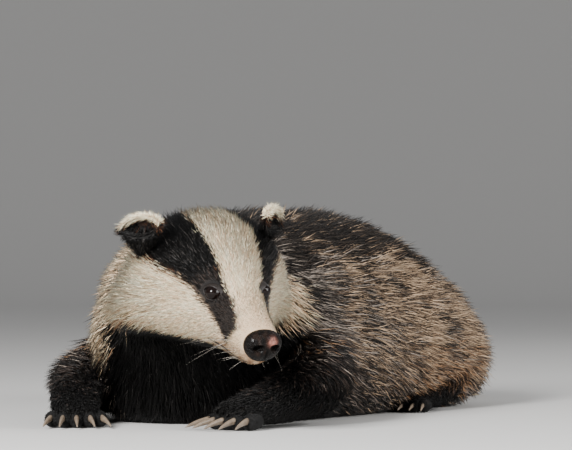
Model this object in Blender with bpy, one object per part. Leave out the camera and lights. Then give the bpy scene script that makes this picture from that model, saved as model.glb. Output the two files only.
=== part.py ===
"""A European badger that crouches on its belly with its head turned to its left, life-size.

Metres, +Z up. The body points along -Y and the animal's left is +X. The origin is on the floor,
on the flat of the belly. Tables are in millimetres and degrees.
"""

import math
import random

import bmesh
import bpy
import numpy as np
from mathutils import Matrix, Vector
from mathutils.bvhtree import BVHTree

MM = 0.001
GAP = 0.3 * MM
SHORTEST = 0.0005 * MM  # shorter edges, which a union leaves where three surfaces meet, are closed
MAX_SHELL = 2.5  # most that a grown corner moves, in steps of the gap

# The head: where the nose leather's middle is, and how the head is turned, lowered and tilted.
NOSE = Vector((140.5, -375.5, 72)) * MM
HEAD_YAW = 50
HEAD_PITCH = 27
HEAD_ROLL = 2

# Sections of the head, by their distance behind the nose: half width, height above and depth below
# the line through the nose, how square they are above and below, the coat's depth, and how far the
# widest level lies below that line, which gives the broad cheeks.
HEAD_SECTIONS = [
    (5, 14.5, 12, 19, 2.1, 2.0, 1, 0),
    (12, 18, 14.5, 24, 2.2, 2.0, 2, 1),
    (24, 21, 18, 28, 2.2, 2.1, 2, 2),
    (38, 23.5, 21.5, 30.5, 2.2, 2.1, 3, 3),
    (52, 29, 27, 34, 2.1, 2.1, 3, 5),
    (66, 38, 35, 39, 2.0, 2.1, 3, 9),
    (82, 52, 43.5, 46, 1.9, 2.1, 5, 15),
    (100, 68, 50, 53, 1.85, 2.1, 8, 22),
    (118, 81, 55, 59, 1.8, 2.2, 10, 28),
    (136, 87, 57, 64, 1.8, 2.2, 13, 32),
    (152, 88, 57, 68, 1.8, 2.2, 16, 34),
]

# Sections of the trunk from the nape to the rump: middle (x, y, z), the way they face (yaw, pitch),
# half width, height above and depth below the middle, squareness above and below, the coat's depth.
SHORT_COAT = 6  # fur up to this depth is part of the solid itself
CORE_SHARE = 0.5  # share of the coat's depth that the core leaves to the locks
TRUNK_SECTIONS = [
    (26, -260, 116, 40, 14, 77, 68, 80, 2.0, 2.2, 18),
    (14, -232, 97, 24, 6, 88, 88, 92, 1.9, 2.3, 20),
    (4, -195, 80, 9, 2, 102, 106, 84, 1.85, 2.6, 22),
    (0, -148, 68, 0, 0, 115, 122, 74, 1.8, 2.8, 24),
    (0, -80, 62, 0, 0, 125, 132, 66, 1.75, 3.0, 26),
    (0, 0, 57, 0, 0, 133, 139, 61, 1.7, 3.0, 28),
    (0, 70, 54, 0, 0, 140, 142, 58, 1.65, 3.0, 28),
    (0, 125, 51, 0, 0, 144, 138, 55, 1.65, 3.0, 28),
    (0, 166, 49, 0, 3, 144, 125, 53, 1.7, 3.0, 28),
    (0, 200, 48, 0, 6, 133, 108, 52, 1.8, 2.8, 28),
    (0, 228, 47, 0, 8, 111, 90, 51, 1.9, 2.6, 27),
]
RUMP_ROUND = 44  # length of the rump's rounded end behind the last section
RUMP_DROP = 4  # how far the rounded end's middle lies below that section's
RUMP_STEPS = (0.45, 0.78, 0.97)

HEAD_RING, TRUNK_RING = 26, 24
HEAD_STEPS, TRUNK_STEPS = 2, 2
NECK_ROWS = 3  # trunk sections that belong to the neck

# Locks: length, width, thickness and how far the tip stands off the core. Each ring of one has its
# share of the full width and of that height, and the rings lie a stride apart.
TRUNK_LOCK = (98, 47, 8, 14)
NECK_LOCK = (78, 42, 8, 11)
RUFF_LOCK = (62, 27, 7, 17)
TAIL_LOCK = (88, 30, 7, 8)
LOCK_PROFILE = ((0.7, -0.7), (1.0, 0.3), (0.68, 0.72))
LOCK_STRIDE = 0.36  # share of the length from one ring to the next
LOCK_SPACING = 1.12  # from lock to lock in a row, in widths
LOCK_SWAY, LOCK_VARIES = 0.2, 0.14  # radians, share of each size
LOCK_FLOOR = 0.8 * MM
LOCK_LOWEST = 14 * MM  # no lock is rooted below this height
LOCK_SHORTEST = 45
ARC_STEPS = 60  # points that measure an arc before its locks are spread along it
HIND_ROOM = ((74, 8, 0), (150, 152, 55))  # no lock comes into this box over a hind foot
TORSO_ROW_STEP = 46  # from row to row along the trunk
OVERLAP = 6 * MM  # how far a node starts inside the one it grows from, before it is cut clear

# Eyes, in the head's own directions: sideways, behind the nose, up.
EYE_AT = (22.0, 62.0, 17.5)
EYE_RADIUS = 6.2
LID_THICKNESS = 1.5
LID_OPENING = (5.6, 4.6)  # half length and half height
EYE_OUTWARD, EYE_UPWARD = 52, 12  # degrees from straight ahead

# Ears: the middle of the cup, its half sizes and how it is turned.
EAR_AT = (60.0, 133.0, 39.0)
EAR_HALF = (21.0, 10.0, 19.5)
EAR_WALL = 4.0
EAR_OUTWARD, EAR_LEAN = 38, 42

# The line of the mouth: distance behind the nose, and degrees round the muzzle from its side.
MOUTH_LINE = ((8, -66), (18, -50), (32, -40), (46, -33), (60, -24))
MOUTH_HALF = 1.2
LIP_HALF, LIP_SINK, LIP_DROP = 2.6, 1.2, 9  # half height, how far inside the surface, how far below
LIP_END = 0.4
LIP_RING = [(math.cos(k * math.pi / 3), math.sin(k * math.pi / 3)) for k in range(6)]

NOSE_HALF = (16.5, 9.5, 13.5)
NOSTRIL_AT = (6.8, -7.5, -0.5)
NOSTRIL_HALF = (3.3, 5.0, 2.5)

# Legs: points of the middle line (x, y, z) with half width and half height.
FORELEG_L = [
    (70, -160, 60, 36, 38),
    (98, -174, 45, 33, 36),
    (109, -202, 34, 28, 31),
    (103, -240, 24, 24, 23),
    (92, -274, 17, 21, 17),
    (83, -300, 12, 20.5, 13),
]
FORELEG_R = [
    (-72, -160, 60, 34, 36),
    (-94, -180, 44, 31, 34),
    (-101, -212, 33, 27, 30),
    (-90, -252, 24, 23, 23),
    (-73, -290, 17, 21, 17),
    (-59, -316, 12, 20.5, 13),
]
HINDLEG_L = [
    (70, 150, 58, 40, 44),
    (98, 132, 42, 34, 36),
    (109, 112, 27, 27, 26),
    (111, 90, 16, 21, 17),
    (109, 64, 11, 19, 12),
    (106, 44, 9, 18.5, 10),
]
HINDLEG_R = [
    (-70, 146, 58, 40, 44),
    (-98, 128, 42, 34, 36),
    (-109, 106, 27, 27, 26),
    (-112, 84, 16, 21, 17),
    (-112, 58, 11, 19, 12),
    (-111, 38, 9, 18.5, 10),
]
SOLE = 0.0  # height of every flat that the animal rests on
TOES = 5
FORE_TOE, HIND_TOE = (7.2, 24, 7.4), (6.3, 18, 6.3)  # radius, length, height of the middle
FORE_CLAW, HIND_CLAW = (3.0, 27), (2.4, 14)  # root radius, length
TOE_SPREAD = math.radians(34)  # from the first toe to the last
TOE_ARCH = 0.9  # how much shorter the outer toes reach, by the square of their place from the middle
TOE_PARTS = ((0, 1.0), (0.6, 1.05), (1.0, 0.65))  # share of a toe's length, share of its radius
CLAW_PARTS = (0, 0.5)
CLAW_TIP = 1.2  # height of a claw's tip

# Tail: points of its middle line with half width and half height, and the coat's depth.
TAIL = [
    (0, 226, 76, 30, 28),
    (1, 262, 60, 30, 27),
    (4, 296, 43, 31, 27),
    (9, 330, 29, 30, 25),
    (15, 364, 19, 26, 21),
    (21, 396, 12.5, 17, 14),
    (24, 414, 7, 7, 7),
]
TAIL_RING = 12

# Where the locks grow: rows, and turns of a ring from the left over the top.
TRUNK_ARC, TAIL_ARC = (-0.07, 0.57), (-0.06, 0.56)
RUFF_ARCS = (((0.44, 0.66), 3), ((0.84, 1.06), 4))
NECK_LOCK_ROWS = ((0, (0.12, 0.38), 5), (3, (0.12, 0.52), 12))
RUFF_ROWS = (14, 18)
TAIL_LOCK_ROWS = (3, 7)

FLAT_WITHIN = math.radians(1)
LEGS = ("foreleg_l", "foreleg_r", "hindleg_l", "hindleg_r")
NODE_COLOURS = {
    "head": "white_fur", "neck": "grey_fur", "torso": "grey_fur", "tail": "grey_fur",
    "nose": "nose_leather", "eye_l": "eye", "eye_r": "eye",
}

COLOURS = {
    "black_fur": (0.012, 0.011, 0.010, 0.75),
    "white_fur": (0.74, 0.68, 0.58, 0.8),
    "grey_fur": (0.22, 0.19, 0.155, 0.8),
    "nose_leather": (0.02, 0.012, 0.010, 0.35),
    "eye": (0.008, 0.005, 0.004, 0.08),
}


def clear_scene():
    for obj in list(bpy.data.objects):
        bpy.data.objects.remove(obj)


def material(name):
    found = bpy.data.materials.get(name)
    if found:
        return found
    red, green, blue, rough = COLOURS[name]
    made = bpy.data.materials.new(name)
    made.use_nodes = True
    shader = made.node_tree.nodes["Principled BSDF"]
    shader.inputs["Base Color"].default_value = (red, green, blue, 1)
    shader.inputs["Roughness"].default_value = rough
    shader.inputs["Metallic"].default_value = 0
    return made


def turned(yaw, pitch, roll=0.0):
    """Forward, left and up for something that faces yaw to the animal's left and pitch down."""
    y, p, r = (math.radians(x) for x in (yaw, pitch, roll))
    forward = Vector((math.sin(y) * math.cos(p), -math.cos(y) * math.cos(p), -math.sin(p)))
    left = Vector((math.cos(y), math.sin(y), 0))
    up = forward.cross(left)
    return forward, left * math.cos(r) + up * math.sin(r), up * math.cos(r) - left * math.sin(r)


HEAD_FORWARD, HEAD_LEFT, HEAD_UP = turned(HEAD_YAW, HEAD_PITCH, HEAD_ROLL)


def on_head(sideways, behind, up):
    """A point given in millimetres in the head's own directions."""
    return NOSE + (HEAD_LEFT * sideways - HEAD_FORWARD * behind + HEAD_UP * up) * MM


def smooth(rows, steps):
    """The rows with steps - 1 more between each two, on a curve through them all."""
    rows = np.array(rows, float)
    ends = np.vstack([2 * rows[0] - rows[1], rows, 2 * rows[-1] - rows[-2]])
    found = []
    for i in range(len(rows) - 1):
        a, b, c, d = ends[i : i + 4]
        for k in range(steps):
            t = k / steps
            found.append(
                0.5 * (2 * b + (c - a) * t + (2 * a - 5 * b + 4 * c - d) * t**2
                       + (3 * b - a - 3 * c + d) * t**3)
            )
    found.append(rows[-1])
    return np.array(found)


def power(value, square):
    return math.copysign(abs(value) ** (2 / square), value)


def section(middle, left, up, sizes, square, square_below, count):
    """A ring of points, round or squarish, with its own height above and depth below the middle."""
    half, above, below = (size * MM for size in sizes)
    ring = []
    for i in range(count):
        angle = 2 * math.pi * i / count
        across, rise = math.cos(angle), math.sin(angle)
        shape = square if rise > 0 else square_below
        high = above if rise > 0 else below
        point = middle + left * (half * power(across, shape)) + up * (high * power(rise, shape))
        ring.append(Vector((point.x, point.y, max(point.z, SOLE))))
    return ring


def loft(rings, tip=None, grow=0.0):
    """A closed bmesh through the rings. The first end is flat, and so is the last without a tip."""
    bm = bmesh.new()
    rows = [[bm.verts.new(p) for p in ring] for ring in rings]
    for a, b in zip(rows, rows[1:]):
        for i, corner in enumerate(a):
            j = (i + 1) % len(a)
            bm.faces.new((corner, a[j], b[j]))
            bm.faces.new((corner, b[j], b[i]))
    fans = [(rows[0], sum(rings[0], Vector()) / len(rings[0]))]
    fans.append((rows[-1], tip if tip is not None else sum(rings[-1], Vector()) / len(rings[-1])))
    for row, centre in fans:
        middle = bm.verts.new(centre)
        for i, corner in enumerate(row):
            bm.faces.new((corner, row[(i + 1) % len(row)], middle))
    bmesh.ops.recalc_face_normals(bm, faces=bm.faces)
    if grow:
        bm.normal_update()
        moves = [v.normal * grow * min(v.calc_shell_factor(), MAX_SHELL) for v in bm.verts]
        for vert, move in zip(bm.verts, moves):
            vert.co += move
    return bm


def new_object(name, bm):
    mesh = bpy.data.meshes.new(name)
    bm.to_mesh(mesh)
    bm.free()
    made = bpy.data.objects.new(name, mesh)
    bpy.context.scene.collection.objects.link(made)
    return made


def ball(name, centre, half, directions=None, fine=(12, 8)):
    """An ellipsoid with the given half sizes in millimetres along left, forward and up."""
    bm = bmesh.new()
    bmesh.ops.create_uvsphere(bm, u_segments=fine[0], v_segments=fine[1], radius=1)
    forward, left, up = directions or (HEAD_FORWARD, HEAD_LEFT, HEAD_UP)
    turn = Matrix((left * half[0] * MM, forward * half[1] * MM, up * half[2] * MM)).transposed()
    bmesh.ops.transform(bm, matrix=Matrix.Translation(centre) @ turn.to_4x4(), verts=bm.verts)
    bmesh.ops.recalc_face_normals(bm, faces=bm.faces)
    return new_object(name, bm)


def apply_boolean(target, operation, others, solver="MANIFOLD"):
    """Joins the others to the target or takes them from it, and removes them."""
    group = bpy.data.collections.new("pieces")
    bpy.context.scene.collection.children.link(group)
    for other in others:
        for holder in list(other.users_collection):
            holder.objects.unlink(other)
        group.objects.link(other)
    change = target.modifiers.new(operation, "BOOLEAN")
    change.operation = operation
    change.solver = solver
    change.operand_type = "COLLECTION"
    change.collection = group
    bpy.context.view_layer.update()
    graph = bpy.context.evaluated_depsgraph_get()
    changed = bpy.data.meshes.new_from_object(target.evaluated_get(graph))
    target.modifiers.clear()
    target.data = changed
    for other in others:
        bpy.data.objects.remove(other)
    bpy.data.collections.remove(group)
    return target


def keep_largest(obj):
    """Keeps only the largest closed surface of a node."""
    bm = bmesh.new()
    bm.from_mesh(obj.data)
    bmesh.ops.dissolve_degenerate(bm, edges=bm.edges, dist=SHORTEST)
    bmesh.ops.triangulate(bm, faces=bm.faces)
    left_over, groups = set(bm.faces), []
    while left_over:
        todo, group = [left_over.pop()], []
        while todo:
            face = todo.pop()
            group.append(face)
            for edge in face.edges:
                for other in edge.link_faces:
                    if other in left_over:
                        left_over.remove(other)
                        todo.append(other)
        volume = sum(f.verts[0].co.dot(f.verts[1].co.cross(f.verts[2].co)) for f in group)
        groups.append((volume, group))
    groups.sort(key=lambda found: -found[0])
    loose = [face for _, group in groups[1:] for face in group]
    bmesh.ops.delete(bm, geom=loose, context="FACES")
    bmesh.ops.delete(bm, geom=[v for v in bm.verts if not v.link_faces], context="VERTS")
    bm.to_mesh(obj.data)
    bm.free()
    return obj


def merge_flat_faces(obj):
    """Joins the slivers that a union leaves in flat places."""
    bm = bmesh.new()
    bm.from_mesh(obj.data)
    bmesh.ops.dissolve_limit(bm, angle_limit=FLAT_WITHIN, verts=bm.verts, edges=bm.edges)
    bm.to_mesh(obj.data)
    bm.free()


def finish(obj, colour):
    if obj.name in LEGS:
        merge_flat_faces(obj)
    keep_largest(obj)
    obj.data.materials.clear()
    obj.data.materials.append(material(colour))
    obj.data.shade_smooth()
    obj.data.set_sharp_from_angle(angle=math.radians(40))
    middle = sum((v.co for v in obj.data.vertices), Vector()) / len(obj.data.vertices)
    obj.data.transform(Matrix.Translation(-middle))
    obj.location = middle
    return obj


def head_section(row, count):
    """A ring of the head's core: short fur is part of it, and half of the ruff's depth."""
    behind, half, above, below, square, square_below, coat, drop = row
    inset = max(coat - SHORT_COAT, 0) * CORE_SHARE
    sizes = (half - inset, above + drop - inset, below - drop - inset)
    middle = on_head(0, behind, -drop)
    return section(middle, HEAD_LEFT, HEAD_UP, sizes, square, square_below, count)


def head_rings():
    return [head_section(row, HEAD_RING) for row in smooth(HEAD_SECTIONS, HEAD_STEPS)]


def trunk_rows():
    """The trunk's sections with the ones between them, and the rounded end of the rump."""
    rows = list(smooth(TRUNK_SECTIONS, TRUNK_STEPS))
    last = rows[-1]
    for part in RUMP_STEPS:
        row = last.copy()
        shrink = math.sqrt(1 - part**2)
        row[1] += RUMP_ROUND * part
        row[2] -= RUMP_DROP * part
        row[5:8] *= shrink
        rows.append(row)
    return rows


def trunk_section(row):
    x, y, z, yaw, pitch, half, above, below, square, square_below, coat = row
    _, left, up = turned(yaw, pitch)
    inset = coat * CORE_SHARE
    middle, sizes = Vector((x, y, z)) * MM, (half - inset, above - inset, below)
    return section(middle, left, up, sizes, square, square_below, TRUNK_RING)


def head_core(grow=0.0):
    return new_object("head_core", loft(head_rings(), grow=grow))


def neck_core(grow=0.0):
    """From inside the back of the head to the shoulders."""
    start = smooth(HEAD_SECTIONS, HEAD_STEPS)[-1]
    start[0] -= OVERLAP / MM
    first = head_section(start, TRUNK_RING)
    count = (NECK_ROWS - 1) * TRUNK_STEPS + 1
    rings = [first] + [trunk_section(row) for row in trunk_rows()[:count]]
    return new_object("neck_core", loft(rings, grow=grow))


def torso_core(grow=0.0):
    count = (NECK_ROWS - 1) * TRUNK_STEPS
    rings = [trunk_section(row) for row in trunk_rows()[count:]]
    first = trunk_rows()[count]
    forward, _, _ = turned(first[3], first[4])
    rings.insert(0, [p + forward * OVERLAP for p in rings[0]])
    end = sum(rings[-1], Vector()) / len(rings[-1]) + Vector((0, RUMP_ROUND * 0.02 * MM, 0))
    return new_object("torso_core", loft(rings, tip=end, grow=grow))


def core_tree(core):
    """For the nearest point and the outward direction on a core's surface."""
    bm = bmesh.new()
    bm.from_mesh(core.data)
    tree = BVHTree.FromBMesh(bm)
    bm.free()
    bpy.data.objects.remove(core)
    return tree


def over_hind_foot(point):
    """Whether a point lies in the room that is kept clear over either hind foot."""
    (x_low, y_low, _), (x_high, y_high, z_high) = HIND_ROOM
    x, y, z = (value / MM for value in point)
    return x_low < abs(x) < x_high and y_low < y < y_high and z < z_high


def lock(tree, root, lie, size, grow):
    """A flat tapered lock that starts inside the core, follows its surface and rises to the tip.
    One that would hang over a hind foot is shorter, or left out."""
    length, width, thick, rise = (value * MM for value in size)
    place, rings = root, []
    for wide, high in LOCK_PROFILE:
        near, normal, _, _ = tree.find_nearest(place)
        along = lie(near)
        along = (along - normal * along.dot(normal)).normalized()
        side = along.cross(normal) * (width / 2 * wide)
        face = normal * (thick / 2 * wide)
        middle = near + normal * (rise * high)
        ring = [middle + side, middle + face, middle - side, middle - face]
        rings.append([Vector((p.x, p.y, max(p.z, LOCK_FLOOR))) for p in ring])
        place = near + along * (length * LOCK_STRIDE)
    near, normal, _, _ = tree.find_nearest(place)
    tip = near + normal * rise
    tip.z = max(tip.z, LOCK_FLOOR)
    if any(over_hind_foot(point) for ring in rings + [[tip]] for point in ring):
        shorter = (size[0] * 0.8, *size[1:])
        return lock(tree, root, lie, shorter, grow) if size[0] > LOCK_SHORTEST else None
    return new_object("lock", loft(rings, tip=tip, grow=grow))


def arc_points(ring, first, last, count, shift):
    """Points at even distances along part of a ring, from one turn of it to another."""
    turns = np.linspace(first, last, ARC_STEPS)
    points = []
    for turn in turns:
        place = turn * len(ring)
        i, part = int(math.floor(place)), place - math.floor(place)
        points.append(ring[i % len(ring)].lerp(ring[(i + 1) % len(ring)], part))
    run = np.concatenate([[0], np.cumsum([(b - a).length for a, b in zip(points, points[1:])])])
    found = []
    for k in range(count):
        want = run[-1] * (k + shift) / count
        i = min(int(np.searchsorted(run, want, side="right")) - 1, len(points) - 2)
        found.append(points[i].lerp(points[i + 1], (want - run[i]) / (run[i + 1] - run[i])))
    return found


def locks_on(core, rings, lie, sizes, arc, seed, grow):
    """Rows of locks over a core, each row shifted from the one before it like shingles."""
    draw = random.Random(seed)
    length, width, thick, rise = sizes
    tree, pieces = core_tree(core), []
    for k, ring in enumerate(rings):
        around = sum((b - a).length for a, b in zip(ring, ring[1:])) * (arc[1] - arc[0])
        count = max(3, round(around / (width * MM * LOCK_SPACING)))
        for root in arc_points(ring, *arc, count, 0.25 + 0.5 * (k % 2)):
            vary = [draw.uniform(1 - LOCK_VARIES, 1 + LOCK_VARIES) for _ in range(3)]
            size = (length * vary[0], width * vary[1], thick, rise * vary[2])
            turn = draw.uniform(-LOCK_SWAY, LOCK_SWAY)
            way = lambda p, turn=turn: Matrix.Rotation(turn, 3, "Z") @ lie(p)
            if root.z > LOCK_LOWEST:
                pieces.append(lock(tree, root, way, size, grow))
    return [piece for piece in pieces if piece]


def trunk_lie(point):
    """The coat runs back along the trunk and hangs down its sides."""
    rows = trunk_rows()
    near = min(rows, key=lambda row: (Vector(row[:3]) * MM - point).length)
    forward, _, _ = turned(near[3], 0)
    side = abs(point.x - near[0] * MM) / (near[5] * MM)
    return -forward - Vector((0, 0, 0.25 + 0.35 * side))


def ruff_lie(point):
    """The ruff runs back from the cheeks and stands out to the sides."""
    side = (point - NOSE).dot(HEAD_LEFT) / (HEAD_SECTIONS[-1][1] * MM)
    return -HEAD_FORWARD + HEAD_LEFT * 0.5 * side - HEAD_UP * 0.35


def tail_lie(point):
    rows = [Vector(p[:3]) * MM for p in TAIL]
    i = min(range(len(rows) - 1), key=lambda k: (rows[k] - point).length)
    return (rows[i + 1] - rows[i]).normalized()


def tube_ring(rows, i, count):
    x, y, z, half, high = rows[i]
    before, after = rows[max(i - 1, 0)][:3], rows[min(i + 1, len(rows) - 1)][:3]
    forward = Vector(after - before).normalized()
    left = forward.cross(Vector((0, 0, 1))).normalized()
    up = left.cross(forward)
    return section(Vector((x, y, z)) * MM, left, up, (half, high, high), 2.1, 2.1, count)


def tube(points, count, tip=None, steps=2):
    """A limb along its points (x, y, z, half width, half height), level from side to side."""
    rows = smooth(points, steps)
    return loft([tube_ring(rows, i, count) for i in range(len(rows))], tip)


def toe_pieces(points, toe, claw):
    """Five toes spread in a fan in front of the paw, each with its claw."""
    radius, length, height = toe
    claw_radius, claw_length = claw
    before, ankle = (Vector((x, y, 0)) for x, y, *_ in points[-2:])
    half = points[-1][3]
    ahead = (ankle - before).normalized()
    across = Vector((-ahead.y, ahead.x, 0))
    pieces = []
    for k in range(TOES):
        share = k / (TOES - 1) - 0.5
        out = ahead * math.cos(share * TOE_SPREAD) + across * math.sin(share * TOE_SPREAD)
        reach = length * (1 - TOE_ARCH * share**2)
        root = ankle + across * (share * 2 * (half - radius * 0.6)) - ahead * radius
        toe_points = []
        for part, size in TOE_PARTS:
            p = root + out * reach * part
            toe_points.append((p.x, p.y, height * (1 - 0.15 * part), radius * size, radius * size * 1.1))
        pieces.append(new_object("toe", tube(toe_points, 6, steps=1)))
        nail = []
        for part in CLAW_PARTS:
            p = root + out * (reach + claw_length * part - radius / 2)
            size = claw_radius * (1 - part * 0.75)
            nail.append((p.x, p.y, height * (1.15 - 0.25 * part) - 4.5 * part**2, size * 0.8, size))
        end = root + out * (reach + claw_length - radius / 2) + Vector((0, 0, CLAW_TIP))
        pieces.append(new_object("claw", tube(nail, 4, tip=end * MM, steps=1)))
    return pieces


def leg(name, points, toe, claw):
    """A leg with its paw, toes and claws in one body."""
    made = new_object(name, tube(points, 11))
    return apply_boolean(made, "UNION", toe_pieces(points, toe, claw))


def eye_frame(side):
    """Forward, left and up of an eye that looks out to its side."""
    out, rise = math.radians(EYE_OUTWARD), math.radians(EYE_UPWARD)
    flat = HEAD_FORWARD * math.cos(out) + HEAD_LEFT * side * math.sin(out)
    forward = flat * math.cos(rise) + HEAD_UP * math.sin(rise)
    left = forward.cross(HEAD_UP).normalized() * -1
    return forward, left, left.cross(forward) * -1


def eye_centre(side):
    sideways, behind, up = EYE_AT
    return on_head(sideways * side, behind, up)


def eye(side):
    name = "eye_l" if side > 0 else "eye_r"
    return ball(name, eye_centre(side), (EYE_RADIUS,) * 3, eye_frame(side))


def add_lids(head):
    """Lids are part of a shell over each eyeball, open in an almond."""
    lids, sockets = [], []
    for side in (1, -1):
        frame = eye_frame(side)
        outer = EYE_RADIUS + LID_THICKNESS
        lids.append(ball("lid", eye_centre(side), (outer,) * 3, frame))
        inner = EYE_RADIUS + GAP / MM
        sockets.append(ball("socket", eye_centre(side), (inner,) * 3, frame))
        front = eye_centre(side) + frame[0] * EYE_RADIUS * MM
        sockets.append(ball("opening", front, (LID_OPENING[0], EYE_RADIUS * 0.6, LID_OPENING[1]), frame))
    apply_boolean(head, "UNION", lids)
    return apply_boolean(head, "DIFFERENCE", sockets)


def mouth_path(side, sink, drop):
    """Points along the lips on one side of the muzzle, so far inside its surface and below the line."""
    rows = smooth(HEAD_SECTIONS, HEAD_STEPS)
    points = []
    for behind, angle in MOUTH_LINE:
        ahead = max(i for i, row in enumerate(rows[:-1]) if row[0] <= behind)
        part = (behind - rows[ahead][0]) / (rows[ahead + 1][0] - rows[ahead][0])
        row = rows[ahead] * (1 - part) + rows[ahead + 1] * part
        turn = math.radians(angle - drop)
        across = power(math.cos(turn), row[5]) * (row[1] - sink)
        rise = power(math.sin(turn), row[5]) * (row[3] - row[7] - sink) - row[7]
        points.append(on_head(side * across, behind, rise))
    return points


def strip(name, points, half):
    """A thin round piece along some points."""
    rings = []
    for i, point in enumerate(points):
        along = (points[min(i + 1, len(points) - 1)] - points[max(i - 1, 0)]).normalized()
        side = along.cross(HEAD_UP).normalized()
        size = half * MM * (LIP_END if i in (0, len(points) - 1) else 1)
        up = side.cross(along)
        rings.append([point + side * size * c + up * size * s for c, s in LIP_RING])
    return new_object(name, loft(rings))


def add_mouth(head):
    """The lower lips stand out a little below the line of the closed mouth."""
    lips = [strip("lip", mouth_path(side, LIP_SINK, LIP_DROP), LIP_HALF) for side in (1, -1)]
    apply_boolean(head, "UNION", lips)
    lines = [strip("line", mouth_path(side, 0, 0), MOUTH_HALF) for side in (1, -1)]
    return apply_boolean(head, "DIFFERENCE", lines)


def build_head():
    head = joined("head", head_shape())
    add_mouth(head)
    add_lids(head)
    return apply_boolean(head, "DIFFERENCE", [nose_ball(GAP)])


def nose_ball(grow=0.0):
    half = [size + grow / MM for size in NOSE_HALF]
    return ball("nose", on_head(0, 4, -1), half)


def build_nose():
    """The nose leather, a rounded pad with two nostrils."""
    nose = nose_ball()
    cuts = []
    for side in (1, -1):
        across, behind, up = NOSTRIL_AT
        cuts.append(ball("nostril", on_head(across * side, behind + 3, up), NOSTRIL_HALF))
    return apply_boolean(nose, "DIFFERENCE", cuts)


def ear_frame(side):
    out, lean = math.radians(EAR_OUTWARD), math.radians(EAR_LEAN)
    forward = HEAD_FORWARD * math.cos(out) + HEAD_LEFT * side * math.sin(out)
    up = HEAD_UP * math.cos(lean) + HEAD_LEFT * side * math.sin(lean)
    up = (up - forward * up.dot(forward)).normalized()
    return forward, forward.cross(up) * -1, up


def ear_ball(side, grow=0.0):
    sideways, behind, height = EAR_AT
    half = [size + grow / MM for size in EAR_HALF]
    return ball("ear", on_head(sideways * side, behind, height), half, ear_frame(side), (16, 10))


def build_ear(side):
    """A small round cup that opens forward and outward, set on the side of the crown."""
    sideways, behind, height = EAR_AT
    frame = ear_frame(side)
    inner = [size - EAR_WALL for size in EAR_HALF]
    centre = on_head(sideways * side, behind, height) + frame[0] * EAR_WALL * 1.6 * MM
    return apply_boolean(ear_ball(side), "DIFFERENCE", [ball("hollow", centre, inner, frame)])


def trunk_ring(y):
    """The ring of the trunk's core at a distance along the body."""
    rows = trunk_rows()
    ahead = max(i for i, row in enumerate(rows[:-1]) if row[1] <= y)
    part = (y - rows[ahead][1]) / (rows[ahead + 1][1] - rows[ahead][1])
    return trunk_section(rows[ahead] * (1 - part) + rows[ahead + 1] * part)


def head_shape(grow=0.0):
    core = head_core(grow)
    rows = [head_rings()[k] for k in RUFF_ROWS]
    locks = []
    for arc, seed in RUFF_ARCS:
        guide = joined("guide", [head_core(), neck_core()])
        locks += locks_on(guide, rows, ruff_lie, RUFF_LOCK, arc, seed, grow)
    return [core] + locks


def neck_shape(grow=0.0):
    locks = []
    for row, arc, seed in NECK_LOCK_ROWS:
        rings = [trunk_section(trunk_rows()[row])]
        locks += locks_on(neck_core(), rings, trunk_lie, NECK_LOCK, arc, seed, grow)
    return [neck_core(grow)] + locks


def torso_shape(grow=0.0):
    first, last = trunk_rows()[(NECK_ROWS - 1) * TRUNK_STEPS][1], trunk_rows()[-1][1]
    count = int((last - first - 18) / TORSO_ROW_STEP)
    rings = [trunk_ring(first + 14 + TORSO_ROW_STEP * k) for k in range(count + 1)]
    locks = locks_on(torso_core(), rings, trunk_lie, TRUNK_LOCK, TRUNK_ARC, 7, grow)
    return [torso_core(grow)] + locks


def tail_shape():
    core = new_object("tail", tube(TAIL, TAIL_RING))
    rows = smooth(TAIL, 2)
    rings = [tube_ring(rows, i, TAIL_RING) for i in TAIL_LOCK_ROWS]
    guide = new_object("guide", tube(TAIL, TAIL_RING))
    return [core] + locks_on(guide, rings, tail_lie, TAIL_LOCK, TAIL_ARC, 9, 0.0)


def joined(name, pieces):
    made, *others = pieces
    made.name = name
    return apply_boolean(made, "UNION", others) if others else made


def cut_clear(target, pieces):
    """Takes from the target the pieces that come near it, and removes them all."""
    low = [min(v.co[i] for v in target.data.vertices) for i in range(3)]
    high = [max(v.co[i] for v in target.data.vertices) for i in range(3)]
    near, far = [], []
    for piece in pieces:
        points = [v.co for v in piece.data.vertices]
        reaches = all(min(p[i] for p in points) < high[i] and max(p[i] for p in points) > low[i]
                      for i in range(3))
        (near if reaches else far).append(piece)
    for piece in far:
        bpy.data.objects.remove(piece)
    return apply_boolean(target, "DIFFERENCE", near) if near else target


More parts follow.
